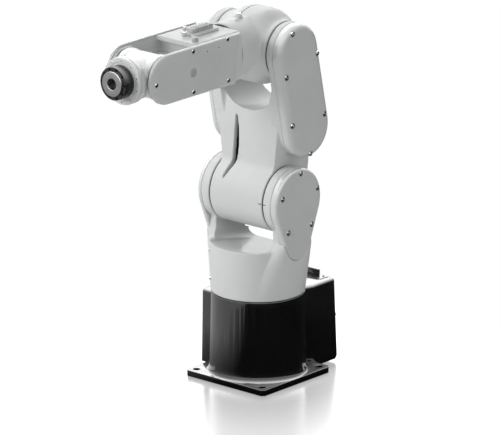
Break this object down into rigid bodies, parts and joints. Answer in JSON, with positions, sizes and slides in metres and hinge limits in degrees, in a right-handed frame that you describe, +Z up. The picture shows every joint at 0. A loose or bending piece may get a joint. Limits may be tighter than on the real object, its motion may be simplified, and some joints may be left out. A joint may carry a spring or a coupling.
{
  "type": "industrial robot arm",
  "caption": "Six-axis desktop industrial robot arm with a black cast base, white jointed arm, forked wrist and round tool flange.",
  "frame": {"origin": "centre of the foot's bolt pattern on its underside, on the waist axis", "axes": "+Z up, +X to the robot's front where the forearm points, +Y to its left"},
  "size_m": [0.5953, 0.218, 0.741],
  "materials": {
    "white_paint": "semi-gloss light grey-white paint",
    "black_paint": "semi-gloss black paint",
    "black_plastic": "matt moulded",
    "grey_plastic": "matt moulded",
    "nickel": "nickel plated",
    "seal_rubber": "matt",
    "cable_jacket": "satin jacket",
    "black_steel": "blackened",
    "flange_steel": "turned"
  },
  "bodies": {
    "base": {"base_casting": "black_paint", "rear_housing": "black_paint", "side_housing": "black_paint", "rear_hood": "black_plastic", "connector_panel": "black_plastic", "panel_sockets": "nickel", "air_inlets": "nickel", "ground_stud": "black_plastic", "waist_seal": "seal_rubber"},
    "turret": {"turret_casting": "white_paint", "left_shoulder_cover": "white_paint", "right_shoulder_cover": "white_paint"},
    "upper_arm": {"upper_arm_casting": "white_paint", "left_arm_cover": "white_paint", "right_arm_cover": "white_paint", "arm_cables": "cable_jacket", "shoulder_seals": "seal_rubber"},
    "elbow": {"elbow_casting": "white_paint", "elbow_cap": "white_paint", "elbow_seals": "seal_rubber", "roll_seal": "seal_rubber"},
    "forearm": {"forearm_casting": "white_paint", "left_forearm_cover": "white_paint", "right_forearm_cover": "white_paint", "service_block": "white_paint", "service_socket": "grey_plastic", "air_fitting": "nickel", "valve_cap": "grey_plastic"},
    "wrist": {"wrist_casting": "white_paint", "wrist_face": "white_paint", "wrist_seals": "seal_rubber"},
    "tool_flange": {"flange_ring": "black_steel", "flange_disc": "flange_steel"}
  },
  "joints": [
    {"name": "waist", "type": "hinge", "parent": "base", "child": "turret", "pos_m": [0, 0, 0.173], "axis": [0, 0, 1], "range_deg": [-170, 170]},
    {"name": "shoulder", "type": "hinge", "parent": "turret", "child": "upper_arm", "pos_m": [0, 0, 0.368], "axis": [0, 1, 0], "range_deg": [-100, 110]},
    {"name": "elbow", "type": "hinge", "parent": "upper_arm", "child": "elbow", "pos_m": [0, 0, 0.663], "axis": [0, -1, 0], "range_deg": [-50, 150]},
    {"name": "forearm_roll", "type": "hinge", "parent": "elbow", "child": "forearm", "pos_m": [0.113, 0, 0.672], "axis": [1, 0, 0], "range_deg": [-190, 190]},
    {"name": "wrist_bend", "type": "hinge", "parent": "forearm", "child": "wrist", "pos_m": [0.322, 0, 0.672], "axis": [0, -1, 0], "range_deg": [-120, 120]},
    {"name": "flange_roll", "type": "hinge", "parent": "wrist", "child": "tool_flange", "pos_m": [0.3883, 0, 0.672], "axis": [1, 0, 0], "range_deg": [-360, 360]}
  ]
}
